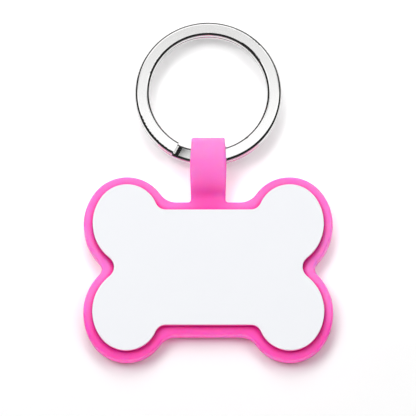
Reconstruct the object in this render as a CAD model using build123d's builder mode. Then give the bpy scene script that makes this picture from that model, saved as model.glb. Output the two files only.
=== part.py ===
"""Bone-shaped pet tag: a soft moulded tray with a ring eye, a bonded white plate and a split ring.

Frame: millimetres. The tag lies on its back on the plane z = 0, with the origin at the middle of the
tray's back face. +Y runs from the tray to the ring and +Z out of the plate.
"""
import os
from math import asin, atan2, cos, hypot, radians, sin, sqrt

from build123d import *

# Plate outline: a straight shank between four oval lobes
plate_edge_y = 11.87
lobe_x = 16.5
lobe_y = 10.75
lobe_tip_radius = 6.36
lobe_side_radius = 9.15
lobe_blend_angle = 37.0
plate_corner_radius = 2.2
plate_notch_radius = 2.5

# Plate, adhesive and pocket
plate_thickness = 1.8
plate_edge_round = 0.15
adhesive_thickness = 0.2
adhesive_inset = 0.8
pocket_depth = 0.5
pocket_clearance = 0.08

# Moulded tray
border_width = 1.86
tray_thickness = 3.5
tray_corner_radius = 4.0
tray_notch_radius = 2.0
edge_round = 0.5

# Strap and eye
strap_root_width = 7.05
strap_middle_width = 7.4
strap_end_width = 6.85
strap_root_fillet = 0.6
strap_flat_run = 0.2
eye_reach = 9.48
eye_wall = 1.0
eye_end_wall = 1.67
strap_hollow_radius = 3.0
strap_crest_radius = 8.0
eye_mouth_round = 0.3

# Split ring of flat wire with rounded edges
ring_diameter = 30.0
wire_width = 3.05
wire_thickness = 1.5
wire_edge_round = 0.7
coil_gap = 0.1
wire_end_angle = 240.5
ramp_angle = 43.0
ramp_stations = 7
end_gap_angle = 1.0
ring_clearance = 0.12
ring_lift = 1.0
eye_play = 0.15

tray_edge_y = plate_edge_y + border_width
ring_radius = ring_diameter / 2
wire_radius = ring_radius - wire_width / 2
coil_pitch = wire_thickness + coil_gap
stack_height = wire_thickness + coil_pitch

# The wire is curved inside the eye, so it needs more room than its own section
half_chord = strap_middle_width / 2
wire_sag = (ring_radius - wire_width) - sqrt((ring_radius - wire_width) ** 2 - half_chord**2)
wire_half_depth = (wire_width + wire_sag) / 2
round_centre_y = wire_half_depth - wire_edge_round
round_centre_z = stack_height / 2 - wire_edge_round
eye_hole_radius = sqrt(round_centre_y**2 + round_centre_z**2) + wire_edge_round + eye_play
eye_half_height = eye_hole_radius + eye_wall
eye_half_length = eye_hole_radius + eye_end_wall
eye_y = tray_edge_y + eye_reach
eye_far_y = eye_y + eye_half_length
eye_z = eye_half_height

# The wire rests low in the round hole, on its two lower edges
rest_reach = eye_hole_radius - ring_clearance - wire_edge_round
wire_drop = sqrt(rest_reach**2 - round_centre_y**2) - round_centre_z

# The ring leans down from the snug eye, which holds its far side just off the surface below
wire_rest_z = eye_z - wire_drop
band_reach = ring_radius - wire_half_depth
ring_lean = asin((wire_rest_z - stack_height / 2 - ring_lift) / (band_reach + ring_radius))
ring_y = eye_y + band_reach * cos(ring_lean)
ring_z = wire_rest_z - band_reach * sin(ring_lean)

# The strap climbs from the tray in a hollow bend, a straight slope and a round bend at the eye's top
strap_foot = Vector(tray_edge_y + strap_root_fillet + strap_flat_run, tray_thickness)
eye_crest = Vector(eye_y, 2 * eye_half_height)
strap_run = eye_crest.X - strap_foot.X
strap_rise = eye_crest.Y - strap_foot.Y
bend_radii = strap_hollow_radius + strap_crest_radius
bend_drop = bend_radii - strap_rise
strap_slope = asin(bend_radii / hypot(strap_run, bend_drop)) - atan2(bend_drop, strap_run)
slope_normal = Vector(-sin(strap_slope), cos(strap_slope))
slope_foot = strap_foot + Vector(0, strap_hollow_radius) - slope_normal * strap_hollow_radius
slope_top = eye_crest - Vector(0, strap_crest_radius) + slope_normal * strap_crest_radius
pocket_floor_z = tray_thickness - pocket_depth


def bone_outline(grow, corner_radius, notch_radius):
    """The bone, grown outwards from the plate's outline, with arcs in its hollow corners and notches."""
    edge_y = plate_edge_y + grow
    tip_radius = lobe_tip_radius + grow
    side_radius = lobe_side_radius + grow
    tip = Vector(lobe_x, lobe_y)
    blend = Vector(cos(radians(lobe_blend_angle)), sin(radians(lobe_blend_angle)))
    side = tip - blend * (lobe_side_radius - lobe_tip_radius)

    # A corner arc touches the straight edge and the tip arc, a notch arc touches two side arcs
    corner_y = edge_y + corner_radius
    corner_x = lobe_x - sqrt((tip_radius + corner_radius) ** 2 - (corner_y - lobe_y) ** 2)
    corner_end = tip + (Vector(corner_x, corner_y) - tip).normalized() * tip_radius
    notch = Vector(side.X + sqrt((side_radius + notch_radius) ** 2 - side.Y**2), 0)
    notch_start = side + (notch - side).normalized() * side_radius
    notch_end = Vector(notch_start.X, -notch_start.Y)

    with BuildSketch() as outline:
        with BuildLine():
            TangentArc((corner_x, edge_y), corner_end, tangent=(1, 0))
            ThreePointArc(corner_end, tip + Vector(0, tip_radius), tip + blend * tip_radius)
            ThreePointArc(tip + blend * tip_radius, side + Vector(side_radius, 0), notch_start)
            mirror(about=Plane.XZ)
            ThreePointArc(notch_start, notch - Vector(notch_radius, 0), notch_end)
            mirror(about=Plane.YZ)
            Line((-corner_x, edge_y), (corner_x, edge_y))
            Line((-corner_x, -edge_y), (corner_x, -edge_y))
        make_face()
    return outline.sketch


# Strap and eye: the plan view, which swells a little halfway, carried up and cut to the side view
with BuildPart() as strap:
    with BuildSketch():
        with BuildLine():
            Polyline((0, 0), (strap_root_width / 2, 0), (strap_root_width / 2, strap_foot.X))
            Spline(
                (strap_root_width / 2, strap_foot.X),
                (strap_middle_width / 2, (strap_foot.X + eye_far_y) / 2),
                (strap_end_width / 2, eye_far_y),
                tangents=((0, 1), (0, 1)),
            )
            Line((strap_end_width / 2, eye_far_y), (0, eye_far_y))
            mirror(about=Plane.YZ)
        make_face()
    extrude(amount=eye_crest.Y)
    with BuildSketch(Plane.YZ):
        with BuildLine():
            Polyline(strap_foot, (0, tray_thickness), (0, 0), (eye_y, 0))
            EllipticalCenterArc((eye_y, eye_z), eye_half_length, eye_half_height, -90, arc_size=180)
            TangentArc(eye_crest, slope_top, tangent=(-1, 0))
            Line(slope_top, slope_foot)
            TangentArc(strap_foot, slope_foot, tangent=(1, 0))
        make_face()
    extrude(amount=strap_middle_width, both=True, mode=Mode.INTERSECT)

# Moulded tray, in one piece with the strap
with BuildPart() as bone_body:
    with BuildSketch() as plan:
        add(bone_outline(border_width, tray_corner_radius, tray_notch_radius))
        Rectangle(strap_root_width, strap_foot.X, align=(Align.CENTER, Align.MIN))
        root = Vector(strap_root_width / 2, tray_edge_y)
        roots = plan.vertices().filter_by(
            lambda v: (Vector(abs(v.X), v.Y) - root).length < strap_flat_run
        )
        fillet(roots, strap_root_fillet)
    extrude(amount=tray_thickness)
    add(strap.part)
    rims = bone_body.edges().filter_by(Axis.Z, reverse=True)
    seams = rims.filter_by(Axis.X).filter_by(lambda e: e.center().Y > tray_edge_y + strap_flat_run)
    fillet(rims - seams, edge_round)
    with BuildSketch(Plane.XY.offset(tray_thickness)):
        add(
            bone_outline(
                pocket_clearance,
                plate_corner_radius - pocket_clearance,
                plate_notch_radius - pocket_clearance,
            )
        )
    extrude(amount=-pocket_depth, mode=Mode.SUBTRACT)
    with BuildSketch(Plane.YZ):
        with Locations((eye_y, eye_z)):
            Circle(eye_hole_radius)
    extrude(amount=strap_middle_width, both=True, mode=Mode.SUBTRACT)
    mouths = bone_body.edges(Select.LAST).filter_by(Axis.X, reverse=True)
    fillet(mouths, eye_mouth_round)

# Double-sided film on the pocket's floor
with BuildPart() as adhesive_pad:
    with BuildSketch(Plane.XY.offset(pocket_floor_z)):
        add(
            bone_outline(
                -adhesive_inset,
                plate_corner_radius + adhesive_inset,
                plate_notch_radius + adhesive_inset,
            )
        )
    extrude(amount=adhesive_thickness)

# Plate, bonded in the pocket and standing proud of the border
with BuildPart() as id_plate:
    with BuildSketch(Plane.XY.offset(pocket_floor_z + adhesive_thickness)):
        add(bone_outline(0, plate_corner_radius, plate_notch_radius))
    extrude(amount=plate_thickness)
    fillet(id_plate.faces().sort_by(Axis.Z)[-1].edges(), plate_edge_round)

# Ring frame: its plane leans about X, and its origin is the middle of the lower turn
ring_up = Vector(0, sin(ring_lean), cos(ring_lean))
ring_plane = Plane(Vector(0, ring_y, ring_z) - ring_up * (coil_pitch / 2), x_dir=(1, 0, 0), z_dir=ring_up)
ring_axis = Axis(ring_plane.origin, ring_up)
ramp_start_angle = wire_end_angle + end_gap_angle
ramp_end_angle = ramp_start_angle + ramp_angle


def wire_section(turn, lift):
    """The wire's section at an angle round the ring, lifted above the lower turn."""
    around = ring_plane.location * Pos(0, 0, lift) * Rot(0, 0, turn)
    with BuildSketch(Plane(around * Pos(wire_radius, 0, 0) * Rot(90, 0, 0))) as section:
        RectangleRounded(wire_width, wire_thickness, wire_edge_round)
    return section.sketch


def ramp_section(share):
    """The wire's section on the ramp, which bends up from one turn and levels out into the next."""
    climb = coil_pitch * (1 - (1 - share) ** 2)
    return wire_section(ramp_start_angle + ramp_angle * share, climb)


# Split ring: a lower turn, a ramp that climbs one pitch, and an upper turn that ends beside the ramp
with BuildPart() as split_ring:
    revolve(wire_section(ramp_end_angle, 0), axis=ring_axis, revolution_arc=360 - ramp_angle)
    loft([ramp_section(step / (ramp_stations - 1)) for step in range(ramp_stations)])
    upper_arc = 360 - ramp_angle - end_gap_angle
    revolve(wire_section(ramp_end_angle, coil_pitch), axis=ring_axis, revolution_arc=upper_arc)

os.makedirs("parts", exist_ok=True)

bone_body.part.label = "bone_body"
export_step(bone_body.part, "parts/bone_body.step")

adhesive_pad.part.label = "adhesive_pad"
export_step(adhesive_pad.part, "parts/adhesive_pad.step")

id_plate.part.label = "id_plate"
export_step(id_plate.part, "parts/id_plate.step")

split_ring.part.label = "split_ring"
export_step(split_ring.part, "parts/split_ring.step")
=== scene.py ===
import math

import bpy
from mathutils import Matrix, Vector


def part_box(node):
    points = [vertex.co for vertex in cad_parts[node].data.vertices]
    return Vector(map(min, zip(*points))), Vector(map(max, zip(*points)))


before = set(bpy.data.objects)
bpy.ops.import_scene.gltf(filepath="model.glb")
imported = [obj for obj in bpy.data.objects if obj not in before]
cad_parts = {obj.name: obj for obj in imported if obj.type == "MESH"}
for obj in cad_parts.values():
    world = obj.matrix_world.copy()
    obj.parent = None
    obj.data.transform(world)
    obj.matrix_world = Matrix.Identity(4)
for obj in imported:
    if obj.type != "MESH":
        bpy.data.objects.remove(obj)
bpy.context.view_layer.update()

bpy.context.scene.view_settings.view_transform = "Standard"

# Places that the finishes and the table need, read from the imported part
bone_low, bone_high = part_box("bone_body")
near_end = bone_low[1]
eye_end = bone_high[1]
tray_back = bone_low[2]
plate_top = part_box("id_plate")[1][2]
ring_low, ring_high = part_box("split_ring")
ring_centre = (Vector(ring_low) + Vector(ring_high)) / 2


class Wire:
    """A socket of a node tree. Arithmetic on it adds Math nodes."""

    def __init__(self, nodes, socket):
        self.nodes = nodes
        self.socket = socket

    def maths(self, operation, first, second):
        return self.nodes.add("ShaderNodeMath", {"operation": operation}, {0: first, 1: second})

    def __add__(self, other):
        return self.maths("ADD", self, other)

    def __radd__(self, other):
        return self.maths("ADD", other, self)

    def __sub__(self, other):
        return self.maths("SUBTRACT", self, other)

    def __rsub__(self, other):
        return self.maths("SUBTRACT", other, self)

    def __mul__(self, other):
        return self.maths("MULTIPLY", self, other)

    def __rmul__(self, other):
        return self.maths("MULTIPLY", other, self)

    def __pow__(self, other):
        return self.maths("POWER", self, other)


class Nodes:
    """The node tree of a finish or of the world."""

    def __init__(self, tree):
        self.tree = tree

    def add(self, kind, settings=None, sockets=None, output=0):
        """Adds a node: its settings first, then its sockets' values or links. Gives back one output."""
        node = self.tree.nodes.new(kind)
        for name, setting in (settings or {}).items():
            setattr(node, name, setting)
        for name, value in (sockets or {}).items():
            self.fill(node.inputs[name], value)
        return Wire(self, node.outputs[output])

    def fill(self, socket, value):
        """Links a wire to a socket, or writes a plain value on it."""
        if isinstance(value, Wire):
            self.tree.links.new(value.socket, socket)
        else:
            socket.default_value = value

    def blend(self, factor, first, second):
        """A colour between two colours."""
        return self.add(
            "ShaderNodeMix", {"data_type": "RGBA"}, {"Factor": factor, 6: first, 7: second}, output=2
        )

    def soft_step(self, value, zero_at, one_at):
        """Runs smoothly from 0 to 1 between two values, of which either may be the larger."""
        return self.add(
            "ShaderNodeMapRange",
            {"interpolation_type": "SMOOTHSTEP"},
            {"Value": value, "From Min": zero_at, "From Max": one_at},
        )

    def noise(self, place, scale, detail=2.0, roughness=0.5):
        """Noise of about 0 to 1. Scale is in cycles per unit of place."""
        return self.add(
            "ShaderNodeTexNoise",
            None,
            {"Vector": place, "Scale": scale, "Detail": detail, "Roughness": roughness},
        )

    def split(self, vector):
        """The three numbers of a vector."""
        node = self.add("ShaderNodeSeparateXYZ", None, {"Vector": vector}).socket.node
        return [Wire(self, socket) for socket in node.outputs]


class Finish(Nodes):
    """A material with its shader."""

    def __init__(self, name):
        self.material = bpy.data.materials.new(name)
        self.material.use_nodes = True
        super().__init__(self.material.node_tree)
        self.shader = self.tree.nodes["Principled BSDF"]
        self.place = self.add("ShaderNodeTexCoord", output="Object")

    def set(self, **sockets):
        """Fills the shader's sockets, which are named with _ for a space."""
        for name, value in sockets.items():
            self.fill(self.shader.inputs[name.replace("_", " ")], value)

    def bump(self, height, depth):
        """Raises and lowers the surface by a pattern, up to a depth in metres."""
        self.set(Normal=self.add("ShaderNodeBump", None, {"Height": height, "Distance": depth}))

    def dress(self, piece):
        """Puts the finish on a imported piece."""
        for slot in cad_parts[piece].material_slots:
            slot.material = self.material


# Pink silicone with the fine matt skin of a moulding, a little cloudy
silicone = Finish("silicone")
x, y = silicone.split(silicone.place)[:2]
cloud = silicone.noise(silicone.place, scale=260.0, detail=3.0)
skin = silicone.noise(silicone.place, scale=5200.0, roughness=0.6)
# Painted shade: the deep pink of the near end stands in for the shade on the near border
near_shaded_pink = (0.996, 0.048, 0.45, 1)
border_pink = (0.998, 0.200, 0.63, 1)
# Painted shade: a deeper pink round the strap's root
root_shaded_pink = (1.0, 0.074, 0.47, 1)
# Painted sheen: a pale pink at the eye stands in for the sheen on the strap's crest
eye_sheen_pink = (0.997, 0.250, 0.65, 1)
# Painted shade: crimson for corners, where shade falls
corner_shade_crimson = (1.0, 0.004, 0.32, 1)

# Painted shade: the pink is painted deepest at the near end of the border, where shade falls
near_shade_full_y = near_end + 0.0040
near_shade_gone_y = near_end + 0.0140
near_shade_fade = silicone.soft_step(y, near_shade_full_y, near_shade_gone_y)
pink = silicone.blend(0.85 * near_shade_fade + 0.15 * cloud, near_shaded_pink, border_pink)

# Painted shade deepens the pink round the strap's root, and a painted sheen makes it palest at the eye
root_y = 0.0140
root_shade_full_radius = 0.0010
root_shade_gone_radius = 0.0070
from_root_y = y - root_y
from_root = (x * x + from_root_y * from_root_y) ** 0.5
root_shade = silicone.soft_step(from_root, root_shade_gone_radius, root_shade_full_radius)
pink = silicone.blend(root_shade, pink, root_shaded_pink)
# Painted sheen: paler towards the eye
eye_sheen_gone_y = eye_end - 0.0081
eye_sheen_full_y = eye_end - 0.0006
eye_sheen = silicone.soft_step(y, eye_sheen_gone_y, eye_sheen_full_y)
pink = silicone.blend(eye_sheen, pink, eye_sheen_pink)

# Painted shade: corners that ambient occlusion finds, such as the one beside the plate, are painted crimson
# and are also more matt
corner_reach = 0.0016
openness = silicone.add(
    "ShaderNodeAmbientOcclusion", {"samples": 8}, {"Distance": corner_reach}, output="AO"
)
corner_shade = silicone.soft_step(openness, 0.84, 0.52)
silicone.set(
    Base_Color=silicone.blend(corner_shade, pink, corner_shade_crimson),
    Roughness=0.48 + 0.10 * skin + 0.06 * cloud + 0.30 * corner_shade,
    Subsurface_Weight=1.0,
    Subsurface_Radius=(1.0, 0.10, 0.35),
    Subsurface_Scale=0.0010,
    Specular_IOR_Level=1.0,
    IOR=1.55,
)
silicone.bump(skin, depth=0.000012)
silicone.dress("bone_body")

# White coated plate: a satin face and rim with faint orange peel, and an edge in pink below the rim
coat = Finish("plate_coat")
z = coat.split(coat.place)[2]
rim_height = 0.00044
rim_fade = 0.00010
peel = coat.noise(coat.place, scale=900.0, roughness=0.4)
grain = coat.noise(coat.place, scale=150.0, detail=4.0)
white = coat.blend(grain, (0.768, 0.778, 0.808, 1), (0.784, 0.794, 0.82, 1))
edge_pink = (0.98, 0.03, 0.40, 1)
face = coat.soft_step(z, plate_top - rim_height - rim_fade, plate_top - rim_height)
coat.set(
    Base_Color=coat.blend(face, edge_pink, white),
    Roughness=0.34 + 0.06 * grain,
    IOR=1.45,
)
coat.bump(peel, depth=0.000004)
coat.dress("id_plate")

# Milky adhesive film with small trapped clouds
adhesive = Finish("adhesive")
haze = adhesive.noise(adhesive.place, scale=700.0, detail=3.0)
adhesive.set(
    Base_Color=adhesive.blend(haze, (0.92, 0.92, 0.90, 1), (0.96, 0.96, 0.94, 1)),
    Roughness=0.45 + 0.15 * haze,
)
adhesive.dress("adhesive_pad")

# Nickel plated wire: polished, with faint drawing lines along the wire
nickel = Finish("nickel")
x, y, z = nickel.split(nickel.place)
lines_per_metre = 4000.0
breaks_per_radian = 9.0
from_x = x - ring_centre.x
from_y = y - ring_centre.y
across = (from_x * from_x + from_y * from_y) ** 0.5
around = nickel.add("ShaderNodeMath", {"operation": "ARCTAN2"}, {0: from_y, 1: from_x})
along_wire = nickel.add(
    "ShaderNodeCombineXYZ",
    None,
    {"X": across * lines_per_metre, "Y": around * breaks_per_radian, "Z": z * lines_per_metre},
)
lines = nickel.noise(along_wire, scale=1.0, detail=3.0)
tarnish = nickel.noise(nickel.place, scale=120.0)
nickel.set(
    Base_Color=nickel.blend(tarnish, (0.635, 0.633, 0.63, 1), (0.675, 0.673, 0.67, 1)),
    Metallic=1.0,
    Roughness=0.07 + 0.07 * lines,
)
nickel.bump(lines, depth=0.0000006)
nickel.dress("split_ring")

# White table just below the tag. Towards the ring it glows a little, which keeps the ring's shadow pale
table_size = 6.0
table_gap = 0.00004
glow_start_y = -0.018
glow_full_y = 0.022
bpy.ops.object.select_all(action="DESELECT")
bpy.ops.mesh.primitive_plane_add(size=table_size, location=(0, 0, tray_back - table_gap))
table = bpy.context.object
table.name = "table"
paper = Finish("table_white")
y = paper.split(paper.place)[1]
fibre = paper.noise(paper.place, scale=60.0, detail=3.0)
ring_side = paper.soft_step(y, glow_start_y, glow_full_y)
paper.set(
    Base_Color=paper.blend(fibre, (0.87, 0.87, 0.87, 1), (0.88, 0.88, 0.88, 1)),
    Roughness=0.9,
    Specular_IOR_Level=0.1,
    Emission_Color=paper.blend(ring_side, (0.0, 0.0, 0.0, 1), (0.30, 0.30, 0.30, 1)),
    Emission_Strength=1.0,
)
table.data.materials.append(paper.material)

# Studio: a white card overhead and beyond the tag, with a darker seam across it, and dark sides.
# Sideways, beyond and height are the parts of a direction of length 1
world = bpy.data.worlds.new("studio")
bpy.context.scene.world = world
world.use_nodes = True
studio = Nodes(world.node_tree)
towards = studio.add("ShaderNodeTexCoord", output="Generated")
sideways, beyond, height = studio.split(towards)
aside = studio.add("ShaderNodeMath", {"operation": "ABSOLUTE"}, {0: sideways})
card = (
    studio.soft_step(beyond, 0.02, 0.18)
    * studio.soft_step(height, 0.56, 0.80)
    * studio.soft_step(aside, 0.54, 0.30)
)
seam = studio.soft_step(beyond, 0.270, 0.300) * studio.soft_step(beyond, 0.39, 0.33)
room_glow = 0.03
card_glow = 1.76

# A low bright wall behind the camera lights the tag's near side, and mirrors see it only faintly
low_wall = studio.soft_step(beyond, -0.45, -0.75) * studio.soft_step(height, 0.36, 0.22)
mirrored = studio.add("ShaderNodeLightPath", output="Is Glossy Ray")
wall_glow = 3.8
hidden_share = 0.88
glow = room_glow + card * (card_glow - seam) + wall_glow * low_wall * (1 - hidden_share * mirrored)
studio.fill(
    world.node_tree.nodes["Background"].inputs["Color"],
    studio.add("ShaderNodeCombineColor", None, {"Red": glow, "Green": glow, "Blue": glow}),
)

lamp_distance = 0.9
lamp_aim = Vector((0, 0.0165, 0.002))


def softbox(name, azimuth, elevation, size, power):
    """A round lamp that faces the tag and that mirrors don't see. Azimuth 0 is beyond the ring, 90 left."""
    lamp = bpy.data.lights.new(name, "AREA")
    lamp.shape = "DISK"
    lamp.size = size
    lamp.energy = power
    holder = bpy.data.objects.new(name, lamp)
    holder.visible_glossy = False
    bpy.context.collection.objects.link(holder)
    turn = math.radians(azimuth)
    climb = math.radians(elevation)
    out = Vector((-math.sin(turn) * math.cos(climb), math.cos(turn) * math.cos(climb), math.sin(climb)))
    holder.location = lamp_aim + out * lamp_distance
    holder.rotation_euler = out.to_track_quat("Z", "Y").to_euler()


softbox("left_softbox", azimuth=64, elevation=57, size=0.50, power=4.0)
softbox("right_softbox", azimuth=-72, elevation=57, size=0.48, power=2.0)
softbox("far_softbox", azimuth=6, elevation=44, size=0.42, power=2.6)

# Camera at the photograph's angle
camera_data = bpy.data.cameras.new("camera")
camera_data.sensor_width = 36.0
camera_data.lens = 425.2
camera_data.clip_start = 0.01
camera_data.clip_end = 20.0
camera = bpy.data.objects.new("camera", camera_data)
bpy.context.collection.objects.link(camera)
camera.location = (-0.00005, -0.19944, 0.97830)
camera_aim = Vector((-0.00005, 0.0128, 0.002))
camera.rotation_euler = (camera.location - camera_aim).to_track_quat("Z", "Y").to_euler()
bpy.context.scene.camera = camera
